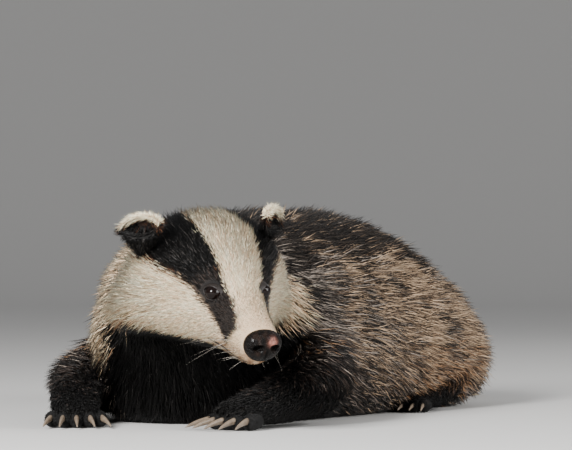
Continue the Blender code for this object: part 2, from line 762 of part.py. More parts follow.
def build():
    clear_scene()
    nodes = {"head": build_head(), "nose": build_nose()}
    nodes["foreleg_l"] = leg("foreleg_l", FORELEG_L, FORE_TOE, FORE_CLAW)
    nodes["foreleg_r"] = leg("foreleg_r", FORELEG_R, FORE_TOE, FORE_CLAW)
    nodes["hindleg_l"] = leg("hindleg_l", HINDLEG_L, HIND_TOE, HIND_CLAW)
    nodes["hindleg_r"] = leg("hindleg_r", HINDLEG_R, HIND_TOE, HIND_CLAW)
    for side, tag in ((1, "l"), (-1, "r")):
        nodes["ear_" + tag] = build_ear(side)
        nodes["eye_" + tag] = eye(side)
        cut_clear(nodes["ear_" + tag], head_shape(GAP))
    nodes["neck"] = joined("neck", neck_shape())
    cut_clear(nodes["neck"], head_shape(GAP) + [ear_ball(1, GAP), ear_ball(-1, GAP)])
    nodes["torso"] = joined("torso", torso_shape())
    cut_clear(nodes["torso"], neck_shape(GAP) + head_shape(GAP))
    nodes["tail"] = joined("tail", tail_shape())
    cut_clear(nodes["tail"], torso_shape(GAP))
    for name in LEGS[:2]:
        cut_clear(nodes[name], torso_shape(GAP) + neck_shape(GAP) + head_shape(GAP))
    for name in LEGS[2:]:
        cut_clear(nodes[name], [torso_core(GAP)])
    animal = bpy.data.collections.new("european_badger")
    bpy.context.scene.collection.children.link(animal)
    for name, obj in nodes.items():
        obj.name = name
        finish(obj, NODE_COLOURS.get(name, "black_fur"))
        animal.objects.link(obj)
        bpy.context.scene.collection.objects.unlink(obj)


build()
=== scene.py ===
import math

import bmesh
import bpy
import numpy as np
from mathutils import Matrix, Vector
from mathutils.bvhtree import BVHTree


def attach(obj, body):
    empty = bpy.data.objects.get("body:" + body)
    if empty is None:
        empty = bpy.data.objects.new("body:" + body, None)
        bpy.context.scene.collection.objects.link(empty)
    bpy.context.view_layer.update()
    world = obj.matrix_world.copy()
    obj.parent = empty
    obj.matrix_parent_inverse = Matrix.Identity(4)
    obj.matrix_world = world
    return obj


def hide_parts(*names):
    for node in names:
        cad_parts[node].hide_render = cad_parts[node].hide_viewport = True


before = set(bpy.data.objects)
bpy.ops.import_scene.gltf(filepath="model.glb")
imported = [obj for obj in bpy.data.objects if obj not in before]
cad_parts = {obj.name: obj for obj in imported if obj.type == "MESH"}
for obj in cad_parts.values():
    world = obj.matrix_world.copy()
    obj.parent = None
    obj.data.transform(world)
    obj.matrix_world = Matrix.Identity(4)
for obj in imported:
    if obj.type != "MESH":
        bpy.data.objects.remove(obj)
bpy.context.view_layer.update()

# The skin of the whole badger: one closed surface under the coat, from the muzzle to the tail.
# Hair hides it except on the soles, at the lips and round the nose and eyes. Each form is a loft
# or a cup, and a union joins them.
MM = 0.001
SKIN_SHADE = 0.6  # the skin's brightness as a share of that of the hair over it, darker as painted shade under the coat
RINGS_EACH = 10  # rings made for each section of the head and trunk
HEAD_AROUND, TRUNK_AROUND = 128, 160


def unit(vectors):
    return vectors / (np.linalg.norm(vectors, axis=-1, keepdims=True) + 1e-12)


def circle(count):
    return np.linspace(0, 2 * math.pi, count, endpoint=False)


def turned(yaw, pitch, roll=0.0):
    """Forward, left and up for something that faces yaw to the animal's left and pitch down."""
    y, p, r = (math.radians(x) for x in (yaw, pitch, roll))
    forward = np.array((math.sin(y) * math.cos(p), -math.cos(y) * math.cos(p), -math.sin(p)))
    left = np.array((math.cos(y), math.sin(y), 0.0))
    up = np.cross(forward, left)
    return forward, left * math.cos(r) + up * math.sin(r), up * math.cos(r) - left * math.sin(r)


NOSE = np.array((140.5, -375.5, 72.0))
AHEAD, LEFT, UP = turned(50, 27, 2)

# Distance behind the nose, half width, height above and depth below the line through the nose,
# squareness above and below, how deep the coat is, and how far below that line it is widest.
HEAD_SECTIONS = [
    (5, 14.5, 12, 19, 2.1, 2.0, 1.0, 0),
    (12, 18, 14.5, 24, 2.2, 2.0, 1.5, 1),
    (24, 21, 18, 28, 2.2, 2.1, 2, 2),
    (38, 23.5, 21.5, 30.5, 2.2, 2.1, 2.2, 3),
    (52, 29, 27, 34, 2.1, 2.1, 2.5, 5),
    (66, 38, 35, 39, 2.0, 2.1, 3, 9),
    (82, 52, 43.5, 46, 1.95, 2.1, 4, 15),
    (100, 67, 50, 53, 2.0, 2.1, 6, 22),
    (118, 79, 55.5, 59, 2.1, 2.2, 8, 28),
    (136, 83, 57.5, 64, 2.2, 2.2, 10, 32),
    (152, 82, 56.5, 68, 2.2, 2.2, 12, 34),
]
HEAD_BEND = 6.5  # how far to the left the back of the head lies
# Middle (x, y, z), yaw and pitch, half width, height, depth, squareness above and below, coat.
TRUNK_SECTIONS = [
    (29, -260, 116, 40, 14, 73, 66, 80, 2.0, 2.2, 18),
    (14, -232, 97, 24, 6, 88, 88, 92, 1.9, 2.3, 20),
    (4, -195, 80, 9, 2, 102, 106, 84, 1.85, 2.6, 22),
    (0, -148, 68, 0, 0, 115, 122, 74, 1.8, 2.8, 24),
    (0, -80, 62, 0, 0, 125, 132, 66, 1.75, 3.0, 26),
    (0, 0, 57, 0, 0, 133, 139, 61, 1.7, 3.0, 28),
    (0, 70, 54, 0, 0, 140, 142, 58, 1.65, 3.0, 28),
    (0, 125, 51, 0, 0, 144, 138, 55, 1.65, 3.0, 28),
    (0, 166, 49, 0, 3, 144, 125, 53, 1.7, 3.0, 28),
    (0, 200, 48, 0, 6, 133, 108, 52, 1.8, 2.8, 28),
    (0, 228, 47, 0, 8, 111, 90, 51, 1.9, 2.6, 27),
]
NAPE_STARTS = ((82, 0.8), (92, 0.96))  # the neck's first two rings: which of the head's, and their size
RUMP_ROUND, RUMP_DROP = 44, 4  # how far the round end of the rump reaches back and sinks
RUMP_STEPS = (0.2, 0.4, 0.58, 0.74, 0.87, 0.95, 0.99)
# Legs and tail: middle line (x, y, z), half width, half height.
LEGS = {
    "foreleg_l": [(70, -160, 60, 36, 38), (98, -174, 45, 33, 36), (109, -202, 34, 28, 31),
                  (103, -240, 24, 24, 23), (92, -274, 17, 21, 17), (83, -300, 12, 20.5, 13)],
    "foreleg_r": [(-72, -160, 60, 34, 36), (-94, -180, 38, 32, 36), (-100, -212, 30, 28, 29),
                  (-90, -252, 24, 23, 23), (-73, -290, 17, 21, 17), (-59, -316, 12, 20.5, 13)],
    "hindleg_l": [(70, 150, 58, 40, 44), (98, 132, 42, 34, 36), (109, 112, 27, 27, 26),
                  (111, 90, 16, 21, 17), (109, 64, 11, 19, 12), (106, 44, 9, 18.5, 10)],
    "hindleg_r": [(-70, 146, 58, 40, 44), (-98, 128, 42, 34, 36), (-109, 106, 27, 27, 26),
                  (-112, 84, 16, 21, 17), (-112, 58, 11, 19, 12), (-111, 38, 9, 18.5, 10)],
}
LEG_COAT = (7.0, 1.5)  # depth of the coat at the shoulder and at the paw
PAW_ROUND, PAW_STEPS = 0.7, (0.3, 0.55, 0.75, 0.9, 0.98)
TAIL = [(0, 226, 76, 30, 28), (1, 262, 60, 30, 27), (4, 296, 43, 31, 27), (9, 330, 29, 30, 25),
        (15, 364, 19, 26, 21), (21, 396, 12.5, 17, 14), (24, 414, 7, 7, 7)]
TAIL_CORE = (0.42, 0.546)  # share of the tail's thickness that is not hair, at its root and its tip
TAIL_RISE = 1.5
TRUNK_CORE = 0.6  # share of the trunk's coat that the skin lies below the outline
LOWEST, LEG_LOWEST, TOE_LOWEST = 2.0, 1.0, 0.8  # the skin's forms are flat at these levels


def on_head(sideways, behind, up):
    return NOSE + LEFT * sideways - AHEAD * behind + UP * up


def smooth(rows, steps):
    """The rows with steps - 1 more between each two, on a curve through them all."""
    rows = np.array(rows, float)
    ends = np.vstack([2 * rows[0] - rows[1], rows, 2 * rows[-1] - rows[-2]])
    found = []
    for i in range(len(rows) - 1):
        a, b, c, d = ends[i : i + 4]
        for k in range(steps):
            t = k / steps
            found.append(0.5 * (2 * b + (c - a) * t + (2 * a - 5 * b + 4 * c - d) * t**2
                                + (3 * b - a - 3 * c + d) * t**3))
    return np.array(found + [rows[-1]])


def section(middle, left, up, half, above, below, square, square_below, count):
    """A ring of points, round or squarish, with its own height above and depth below the middle."""
    angle = circle(count)
    across, rise = np.cos(angle), np.sin(angle)
    shape = np.where(rise > 0, square, square_below)
    high = np.where(rise > 0, above, below)
    x = half * np.sign(across) * np.abs(across) ** (2 / shape)
    z = high * np.sign(rise) * np.abs(rise) ** (2 / shape)
    return middle + np.outer(x, left) + np.outer(z, up)


def head_ring(row, count, shrink=1.0):
    behind, half, above, below, square, square_below, coat, drop = row
    bend = HEAD_BEND * max(behind - 70, 0) / 82
    return section(on_head(bend, behind, -drop), LEFT, UP, (half - coat) * shrink,
                   (above + drop - coat) * shrink, (below - drop - coat) * shrink, square,
                   square_below, count)


def head_grid():
    return np.array([head_ring(row, HEAD_AROUND) for row in smooth(HEAD_SECTIONS, RINGS_EACH)])


def trunk_grid():
    rows = list(smooth(TRUNK_SECTIONS, RINGS_EACH))
    last = rows[-1]
    for part in RUMP_STEPS:
        row = last.copy()
        row[1] += RUMP_ROUND * part
        row[2] -= RUMP_DROP * part
        row[5:8] *= math.sqrt(1 - part**2)
        rows.append(row)
    rings = []
    for x, y, z, yaw, pitch, half, above, below, square, square_below, coat in rows:
        _, left, up = turned(yaw, pitch)
        inset = min(coat * TRUNK_CORE, half * 0.5)
        rings.append(section(np.array((x, y, z)), left, up, half - inset, max(above - inset, 4),
                             below, square, square_below, TRUNK_AROUND))
    head = smooth(HEAD_SECTIONS, RINGS_EACH)
    inside, start = (head_ring(head[k], TRUNK_AROUND, size) for k, size in NAPE_STARTS)
    throat = [start + (rings[0] - start) * t for t in np.linspace(0, 1, 9)[:-1]]
    return np.array([inside] + throat + rings)


def tube_grid(rows, count):
    rings = []
    for i, (x, y, z, half, high) in enumerate(rows):
        forward = unit(rows[min(i + 1, len(rows) - 1)][:3] - rows[max(i - 1, 0)][:3])
        left = unit(np.cross(forward, (0, 0, 1)))
        rings.append(section(np.array((x, y, z)), left, np.cross(left, forward), half, high, high,
                             2.1, 2.1, count))
    return np.array(rings)


def leg_grid(name):
    rows = smooth(LEGS[name], 9)
    rows[:, 3:5] -= np.linspace(*LEG_COAT, len(rows))[:, None]
    ahead = rows[-1, :3] - rows[-2, :3]
    ahead *= rows[-1, 3] * PAW_ROUND / np.linalg.norm(ahead)
    end = []
    for part in PAW_STEPS:
        shrink = math.sqrt(1 - part**2)
        end.append((*(rows[-1, :3] + ahead * part), rows[-1, 3] * shrink, rows[-1, 4] * shrink))
    return tube_grid(np.vstack([rows, end]), 56)


def tail_grid():
    rows = smooth(TAIL, 8)
    rows[:, 3:5] *= np.linspace(*TAIL_CORE, len(rows))[:, None]
    rows[:, 2] += TAIL_RISE
    return tube_grid(rows, 40)


# Ears: the middle of the left and of the right cup, how far each leans from upright, its half sizes
# across, forward and along, and how thick its wall is. The left one sits higher and leans more.
EAR_AT = {1: (57.0, 133.0, 47.0), -1: (63.0, 133.0, 43.5)}
EAR_LEAN, EAR_OUT = {1: 122, -1: 112}, 38
EAR_HALF, EAR_WALL = (9.8, 7.0, 18.5), 2.4
EAR_ROOT, EAR_ROOT_WAY = 19, (0.93, 0.36)  # how far the lower edge sinks, and its way up and outwards
EAR_FREE = (0.15, 0.8)  # between these places along the ear the sinking fades out


def ear_axes(side):
    out, lean = math.radians(EAR_OUT), math.radians(EAR_LEAN[side])
    forward = AHEAD * math.cos(out) + LEFT * side * math.sin(out)
    up = UP * math.cos(lean) + LEFT * side * math.sin(lean)
    up = unit(up - forward * up.dot(forward))
    return forward, np.cross(up, forward), up


def ring_at(centre, axes, x, z, depth):
    """A ring by how far its points lie along the left, up and forward axes."""
    return centre + np.outer(x, axes[1]) + np.outer(z, axes[2]) + np.outer(depth, axes[0])


def ear_centre(side):
    return on_head(EAR_AT[side][0] * side, *EAR_AT[side][1:])


def ear_grid(side):
    """Round the cup's edge, and from the middle of its back over the rim to its deepest place. The
    outside of its lower edge runs down into the head, as the ear's root."""
    turns = circle(48)
    profile = [(math.sin(a), -math.cos(a) * EAR_HALF[1]) for a in np.radians(np.linspace(6, 100, 15))]
    rim = profile[-1][1]
    shrink = 1 - EAR_WALL / EAR_HALF[2]
    profile.append((0.97, rim + 1.4))
    outside = len(profile)
    profile.append((shrink + 0.03, rim + 1.2))
    hollow = EAR_HALF[1] + rim - EAR_WALL * 0.6
    profile += [(math.sin(a) * shrink, rim - math.cos(a) * hollow)
                for a in np.radians(np.linspace(88, 6, 12))]
    centre = ear_centre(side)
    narrow = 1 - 0.3 * np.clip(np.sin(turns), 0, 1) ** 2
    root = (UP * EAR_ROOT_WAY[0] + LEFT * side * EAR_ROOT_WAY[1]) * EAR_ROOT
    rings = []
    for k, (radius, depth) in enumerate(profile):
        ring = ring_at(centre, ear_axes(side), np.cos(turns) * narrow * radius * EAR_HALF[0],
                       np.sin(turns) * radius * EAR_HALF[2], depth)
        if k < outside:
            below = np.clip((centre - ring) @ UP / EAR_HALF[0], 0, 1)
            bound = np.interp(np.sin(turns) * radius, EAR_FREE, (1, 0))
            ring = ring - np.outer(below * bound, root)
        rings.append(ring)
    return np.array(rings)


TOE_SPREAD, TOE_ARCH = math.radians(34), 0.9
# Radius, length and height of a toe, then thickness and length of its claw.
TOES = {"fore": ((7.2, 24, 7.4), (3.0, 27)), "hind": ((6.3, 18, 6.3), (2.4, 14))}
TOE_PARTS = ((0, 0.85), (0.3, 0.9), (0.6, 0.95), (0.85, 0.85), (1.0, 0.6), (1.06, 0.3))


def toe_lines(name):
    """For each of the five toes its root, its way, its reach and its sizes."""
    (radius, length, height), claw = TOES[name[:4]]
    points = np.array(LEGS[name], float)
    before, ankle = points[-2, :3] * (1, 1, 0), points[-1, :3] * (1, 1, 0)
    ahead = unit(ankle - before)
    across = np.array((-ahead[1], ahead[0], 0))
    for k in range(5):
        share = k / 4 - 0.5
        out = ahead * math.cos(share * TOE_SPREAD) + across * math.sin(share * TOE_SPREAD)
        root = ankle + across * share * 2 * (points[-1, 3] - radius * 0.6) - ahead * radius
        yield root, out, length * (1 - TOE_ARCH * share**2), radius, height, claw


def toe_grids(name):
    for root, out, reach, radius, height, _ in toe_lines(name):
        rows = []
        for part, size in TOE_PARTS:
            x, y, _ = root + out * reach * part
            rows.append((x, y, height * (1 - 0.15 * part) + 0.5, radius * size, radius * size * 1.05))
        yield tube_grid(smooth(rows, 3), 20)


def floor_level(grid, lowest=LOWEST):
    grid[..., 2] = np.maximum(grid[..., 2], lowest)
    return grid * MM


def facing_out(mesh):
    """Turns the faces of a mesh outwards."""
    bm = bmesh.new()
    bm.from_mesh(mesh)
    bmesh.ops.recalc_face_normals(bm, faces=bm.faces)
    bm.to_mesh(mesh)
    bm.free()


def placed(name, data):
    """An object in the scene for a mesh, a light or a camera."""
    made = bpy.data.objects.new(name, data)
    bpy.context.scene.collection.objects.link(made)
    return made


def loft(name, grid):
    """A closed mesh over a grid of rings, with a middle point at each end."""
    rings, around = grid.shape[:2]
    ids = np.arange(rings * around).reshape(rings, around)
    nxt = np.roll(ids, -1, axis=1)
    faces = np.stack([ids[:-1], nxt[:-1], nxt[1:], ids[1:]], axis=-1).reshape(-1, 4).tolist()
    faces += [(*pair, ids.size) for pair in np.stack([nxt[0], ids[0]], axis=1).tolist()]
    faces += [(*pair, ids.size + 1) for pair in np.stack([ids[-1], nxt[-1]], axis=1).tolist()]
    points = np.vstack([grid.reshape(-1, 3), grid[0].mean(0), grid[-1].mean(0)])
    mesh = bpy.data.meshes.new(name)
    mesh.from_pydata(points.tolist(), [], faces)
    facing_out(mesh)
    return placed(name, mesh)


grids = {"head": floor_level(head_grid()), "trunk": floor_level(trunk_grid()),
         "tail": floor_level(tail_grid()), "ear_l": floor_level(ear_grid(1)),
         "ear_r": floor_level(ear_grid(-1))}
for name in LEGS:
    grids[name] = floor_level(leg_grid(name), LEG_LOWEST)
    for k, grid in enumerate(toe_grids(name)):
        grids[f"{name}_toe_{k}"] = floor_level(grid, TOE_LOWEST)


def joined(name, pieces):
    """One closed surface out of several that cross."""
    target, *others = pieces
    group = bpy.data.collections.new("pieces")
    bpy.context.scene.collection.children.link(group)
    for other in others:
        bpy.context.scene.collection.objects.unlink(other)
        group.objects.link(other)
    union = target.modifiers.new("union", "BOOLEAN")
    union.operation, union.solver = "UNION", "MANIFOLD"
    union.operand_type, union.collection = "COLLECTION", group
    bpy.context.view_layer.update()
    graph = bpy.context.evaluated_depsgraph_get()
    mesh = bpy.data.meshes.new_from_object(target.evaluated_get(graph))
    target.modifiers.clear()
    target.data = mesh
    for other in others:
        bpy.data.objects.remove(other)
    bpy.data.collections.remove(group)
    target.name = mesh.name = name
    return target


forms = {name: loft(name, grid) for name, grid in grids.items()}
trees = {}
for name, form in forms.items():
    corners = [v.co for v in form.data.vertices]
    trees[name] = BVHTree.FromPolygons(corners, [p.vertices for p in form.data.polygons])
skin = joined("skin", [forms["trunk"], *(form for name, form in forms.items() if name != "trunk")])

# The furs of the coat: the colour of its light hairs, of the dark ones that lie between them, and
# what share is light. The dark hairs are partly real dark hair and partly painted shade between the
# light ones; on the white and cream furs they are painted shade. The skin and the coat carry the same
# markings, laid over one another.
FURS = {
    "white": ((1.0, 0.785, 0.55), (0.50, 0.35, 0.21), 0.82),
    "cream": ((0.94, 0.65, 0.41), (0.50, 0.35, 0.22), 0.75),
    "rust": ((0.20, 0.08, 0.036), (0.04, 0.016, 0.009), 0.42),
    "smoke": ((0.072, 0.051, 0.041), (0.008, 0.006, 0.005), 0.25),
    # black and jet: their few light hairs partly stand in as painted glints
    "black": ((0.085, 0.076, 0.070), (0.0040, 0.0036, 0.0034), 0.06),
    "jet": ((0.030, 0.027, 0.025), (0.0040, 0.0036, 0.0034), 0.06),
    "grizzle": ((0.36, 0.29, 0.24), (0.014, 0.011, 0.010), 0.18),
    "pepper": ((0.40, 0.335, 0.28), (0.042, 0.034, 0.029), 0.44),
    "tan": ((0.63, 0.45, 0.295), (0.15, 0.098, 0.063), 0.58),
    "brown": ((0.46, 0.26, 0.135), (0.12, 0.062, 0.032), 0.62),
    # ash: dark grey hair, made darker still as painted shade on the top of the back
    "ash": ((0.056, 0.043, 0.034), (0.010, 0.008, 0.007), 0.3),
}
# Along the head, by the distance behind the nose: where the white stripe's middle is, its half
# width, how high round the head (in degrees) the black stripe starts and where the throat ends.
STRIPE_MIDDLE = ((15, -1.6), (40, 3.0), (60, 3.5), (85, 7.0), (112, 8.5), (145, 5.5))
STRIPE_HALF = ((10, 12.5), (15, 14.2), (40, 14.4), (60, 16.8), (85, 20), (112, 23), (145, 21))
BLACK_FROM = ((20, 10), (28, -42), (34, -22), (45, 1), (58, 16), (74, 25), (90, 25), (113, 19.5),
              (145, 13))
THROAT_FROM = ((20, -120), (30, -88), (47, -54), (62, -46), (88, -36), (104, -30), (112, -25),
               (125, -28), (140, -33), (165, -36), (200, -34))
# By the degrees round the head: where its white ends. Along the trunk: how high the black chest goes.
WHITE_ENDS = ((-40, 186), (-20, 200), (0, 196), (15, 180), (30, 168))
CHEST_LINE = ((-260, 170), (-215, 140), (-192, 60), (-150, 28), (-100, 16), (0, 6), (240, 4))
EAR_WHITE = {1: (2.6, 5.6), -1: (1.9, 4.9)}  # how high on the ear its white starts and is full
EYE_AT = {side: on_head(22.0 * side, 62.0, 17.5) for side in (1, -1)}


def steps(low, high, value):
    t = np.clip((value - low) / (high - low), 0, 1)
    return t * t * (3 - 2 * t)


def along(table, value):
    xs, ys = zip(*table)
    return np.interp(value, xs, ys)


def mottle(points, size, seed):
    """Soft random patches about that size in millimetres, from -1 to 1."""
    draw = np.random.default_rng(seed)
    total = np.zeros(len(points))
    for _ in range(9):
        way = draw.normal(size=3)
        way *= draw.uniform(0.6, 1.6) / np.linalg.norm(way)
        total += np.sin(points @ way * (2 * math.pi / size) + draw.uniform(0, 6.3))
    return np.clip(total / 3.6, -1, 1)


def head_space(points):
    """Sideways to the left, behind the nose and up, in millimetres, and degrees round the head."""
    away = points / MM - NOSE
    side, up = away @ LEFT, away @ UP
    return side, -(away @ AHEAD), up, np.degrees(np.arctan2(up, np.abs(side) + 1e-6))


def layered(count, *layers):
    """The share of each fur at each point, after layers of (fur, how much of it covers the rest)."""
    shares = {fur: np.zeros(count) for fur in FURS}
    for fur, cover in layers:
        cover = np.clip(np.broadcast_to(cover, count), 0, 1)
        for other in shares:
            shares[other] = shares[other] * (1 - cover)
        shares[fur] += cover
    return np.column_stack(list(shares.values()))


def face_furs(points):
    """White with black stripes, a thin rusty edge to them, and warmer and darker hair on the muzzle."""
    p = points / MM
    side, behind, up, height = head_space(points)
    ragged = mottle(p, 9, 41) + mottle(p, 4, 42) * 0.8
    height = height + ragged * 1.3
    line = along(BLACK_FROM, behind)
    band = steps(-3, 3, height - line) * steps(-3, 3, behind - 22 + (up - 2) * 0.5)
    fringe = np.clip(1 - np.abs(height - line) / 6, 0, 1) * steps(25, 60, behind)
    off = np.abs(side - along(STRIPE_MIDDLE, behind)) - along(STRIPE_HALF, behind) + ragged
    stripe = (1 - steps(-2, 2, off)) * (up > -2)
    edge = np.clip(1 - np.abs(off) / 4, 0, 1) * steps(90, 30, behind)
    hem = height - along(THROAT_FROM, behind)
    eye = np.minimum(*(np.linalg.norm(p - at, axis=1) for at in EYE_AT.values()))
    dim = np.maximum(steps(58, 44, behind) * 0.85, np.exp(-((eye - 13.5) / 3.5) ** 2) * 0.9)
    warm = 0.15 + 0.25 * mottle(p, 24, 7) + steps(48, 18, behind) * 0.45
    lip = steps(58, 30, behind) * steps(-10, -55, height) * (0.7 + 0.4 * mottle(p, 7, 43))
    bridge = 0.15 + 0.3 * mottle(p, 15, 8) + steps(60, 15, behind) * 0.55
    crown = stripe * steps(85, 130, behind) * steps(-0.1, 0.9, mottle(p, 13, 9)) * 0.22
    return layered(len(p), ("white", 1), ("cream", warm), ("cream", steps(14, 0, hem) * 0.6),
                   ("brown", lip), ("brown", steps(10, 0, hem) * steps(98, 122, behind) * 0.4),
                   ("rust", fringe * 0.7), ("black", band), ("rust", edge * band * 0.6),
                   ("smoke", band * dim), ("jet", steps(-4, 4, -hem)), ("white", stripe),
                   ("cream", stripe * bridge), ("brown", crown))


def body_furs(points):
    """Grizzled grey over tan flanks, with a back darkened partly by painted shade, a darker rump and a
    black chest.
    """
    p = points / MM
    x, y, z = p.T
    strands = np.column_stack([x, y * 0.4, z])
    blotch = mottle(strands, 55, 14) * 0.35 + mottle(strands, 24, 11) * 0.5
    blotch += mottle(strands, 11, 12) * 0.4
    bands = mottle(np.column_stack([x, y * 1.3, z * 0.5]), 60, 16)
    chest = steps(-14, 14, along(CHEST_LINE, y) + mottle(p, 22, 13) * 10 - z)
    # the share of ash; its rise towards the top of the back is painted shade
    dark = 0.10 + 0.5 * blotch - 0.15 * bands + 0.85 * steps(92, 172, z + 18 * blotch)
    return layered(len(p), ("pepper", 1),
                   ("tan", steps(-190, -60, y + blotch * 30) * (0.8 + 0.4 * bands)),
                   ("brown", steps(80, 20, z) * steps(-60, 80, y) * 0.7),
                   ("ash", dark + 0.75 * steps(185, 240, y)),
                   ("grizzle", steps(50, 0, z - along(CHEST_LINE, y)) * 0.8), ("jet", chest),
                   ("grizzle", chest * steps(-35, -60, x) * 0.8))


def ear_furs(points, side):
    """A white band along the ear's upper edge, and black below it and in the cup."""
    across, _, up, _ = head_space(points)
    out, rise = np.abs(across) - EAR_AT[side][0], up - EAR_AT[side][2]
    band = 0.95 * rise + 0.30 * out + 0.7 * np.maximum(out - 9, 0) + mottle(points / MM, 6, 21) * 1.5
    return layered(len(points), ("black", 1), ("rust", steps(-2.5, 1.5, band) * 0.35),
                   ("white", steps(*EAR_WHITE[side], band)))


# On the black legs: a fur, the heights where it starts and is full, and how much of it there is then.
LEG_FURS = {"fore": (("smoke", 22, 50, 0.6), ("brown", 45, 85, 0.12), ("pepper", 40, 85, 0.25)),
            "hind": (("smoke", 12, 26, 1), ("brown", 22, 44, 0.6), ("tan", 30, 70, 0.4))}


def furs(points, part):
    """The share of each fur that a part of the body has at each point."""
    if part.startswith("ear"):
        return ear_furs(points, 1 if part == "ear_l" else -1)
    p = points / MM
    if "leg" in part:
        level = p[:, 2] + mottle(p, 12, 15) * 8
        return layered(len(p), ("jet", 1), *((fur, steps(low, high, level) * most)
                                             for fur, low, high, most in LEG_FURS[part[:4]]))
    if part == "tail":
        blotch = mottle(p, 18, 31) * 0.3
        return layered(len(p), ("pepper", 1), ("cream", 0.45 + blotch), ("ash", 0.25 - blotch))
    x, y, z = p.T
    _, behind, _, height = head_space(points)
    fade = steps(-16, 16, behind + mottle(p, 14, 33) * 6 - along(WHITE_ENDS, height))
    fade = np.maximum(fade, steps(-225, -205, y))[:, None]
    shares = face_furs(points) * (1 - fade) + body_furs(points) * fade
    if part == "head":
        return shares
    # the ruff: white hair of the cheeks that lies over the front of the neck on both sides
    back = y + mottle(p, 16, 35) * 13 - 0.25 * (z - 100)
    near = np.maximum(steps(-26, -46, x) * steps(60, 84, z), steps(-2, -24, x) * steps(90, 106, z))
    near *= steps(-184, -222, back) * steps(176, 150, z)
    far = steps(58, 76, x) * steps(86, 102, z) * steps(134, 120, z) * steps(-176, -196, y)
    ruff = (np.maximum(near, far) * (0.9 + 0.1 * mottle(p, 9, 34)))[:, None]
    pale = layered(len(p), ("white", 1), ("cream", 0.35),
                   ("brown", 0.4 * (1 - ruff[:, 0]) * steps(96, 70, z)))
    return shares * (1 - ruff) + pale * ruff


# Materials: a small wrapper that lets shader sums be written as ordinary expressions.
class Socket:
    def __init__(self, tree, out):
        self.tree, self.out = tree, out

    def get(self, kind, output, settings=None, **inputs):
        """The output of a new node; i0 names its first input."""
        made = self.tree.nodes.new("ShaderNode" + kind)
        for key, value in (settings or {}).items():
            setattr(made, key, value)
        for key, value in inputs.items():
            at = int(key[1:]) if key[0] == "i" and key[1:].isdigit() else key.replace("_", " ")
            if isinstance(value, Socket):
                self.tree.links.new(value.out, made.inputs[at])
            else:
                made.inputs[at].default_value = value
        return Socket(self.tree, made.outputs[output])

    def maths(self, operation, a, b):
        return self.get("Math", 0, {"operation": operation}, i0=a, i1=b)

    def texture(self, kind, **inputs):
        return self.get("Tex" + kind, 0, Vector=self.get("TexCoord", "Object"), **inputs)

    def blend(self, a, b):
        """From colour a to colour b, by this value."""
        return self.get("Mix", 2, {"data_type": "RGBA"}, i0=self, i6=a, i7=b)

    def __add__(self, other):
        return self.maths("ADD", self, other)

    __radd__ = __add__

    def __sub__(self, other):
        return self.maths("SUBTRACT", self, other)

    def __rsub__(self, other):
        return self.maths("SUBTRACT", other, self)

    def __mul__(self, other):
        return self.maths("MULTIPLY", self, other)

    __rmul__ = __mul__


def new_material(name, **constants):
    """A material with its shader's fixed values set, and a place to start expressions from."""
    made = bpy.data.materials.new(name)
    made.use_nodes = True
    tree = made.node_tree
    shader = tree.nodes["Principled BSDF"]
    for key, value in constants.items():
        shader.inputs[key.replace("_", " ")].default_value = value
    return made, Socket(tree, None), shader


def feed(shader, name, value):
    shader.id_data.links.new(value.out, shader.inputs[name])


def mesh_colours(obj, colours):
    """Lays a colour on each point of a mesh, for feed_own_colour to read."""
    layer = obj.data.attributes.new("coat_colour", "FLOAT_COLOR", "POINT")
    full = np.ones((len(colours), 4), np.float32)
    full[:, :3] = colours
    layer.data.foreach_set("color", full.ravel())


def feed_own_colour(shader, start):
    feed(shader, "Base Color", start.get("Attribute", "Color", {"attribute_name": "coat_colour"}))


def feed_bump(shader, strength, distance, height):
    feed(shader, "Normal", height.get("Bump", 0, Strength=strength, Distance=distance, Height=height))


def finished(piece, finish):
    """Shades a piece smooth and gives it its one material."""
    piece.data.shade_smooth()
    piece.data.materials.clear()
    piece.data.materials.append(finish)


points = np.array([v.co for v in skin.data.vertices])
colours = np.zeros((len(points), 3))
nearest = np.full(len(points), np.inf)
fur_means = np.array([np.array(light) * share + np.array(dark) * (1 - share)
                      for light, dark, share in FURS.values()])
for name, grid in grids.items():
    low, high = grid.reshape(-1, 3).min(0) - MM, grid.reshape(-1, 3).max(0) + MM
    inside = np.nonzero(((points > low) & (points < high)).all(1) & (nearest > 0.02 * MM))[0]
    away = np.array([trees[name].find_nearest(Vector(points[i]))[3] for i in inside])
    closer = inside[away < nearest[inside]]
    nearest[inside] = np.minimum(nearest[inside], away)
    colours[closer] = furs(points[closer], name) @ fur_means
# painted shade: the skin under the coat is darker than the hair over it
mesh_colours(skin, colours * SKIN_SHADE)
skin_finish, s, shader = new_material("short_fur", Roughness=0.85, Specular_IOR_Level=0.25)
feed_own_colour(shader, s)
feed_bump(shader, 0.6, 0.0012, s.texture("Noise", Scale=900.0, Detail=4.0))
finished(skin, skin_finish)
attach(skin, "root")
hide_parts("head", "neck", "torso", "tail", "ear_l", "ear_r", *LEGS)

# The eyes: dark brown, glossy balls in lids of bare black skin, sunk in the black stripe.
# Each ball is a closed sphere with a slightly domed front, and the lids close on it in an almond.
EYE_RADIUS, EYE_DOME = 6.9, 1.06
EYE_OUT, EYE_RISE = math.radians(52), math.radians(12)  # which way the eyes look
LID_OPENING = (6.6, 5.9)
# The lid's rings, once round its thickness: how far each is spread beyond the opening, and how high
# it lies over the ball.
LID_RINGS = ((1.0, -0.9), (0.98, 0.1), (1.02, 0.55), (1.12, 0.6), (1.24, 0.1), (1.36, -1.0),
             (1.34, -2.4), (1.04, -2.2))


def eye_axes(side):
    forward = AHEAD * math.cos(EYE_OUT) + LEFT * side * math.sin(EYE_OUT)
    forward = forward * math.cos(EYE_RISE) + UP * math.sin(EYE_RISE)
    left = unit(np.cross(UP, forward))
    return forward, left, np.cross(forward, left)


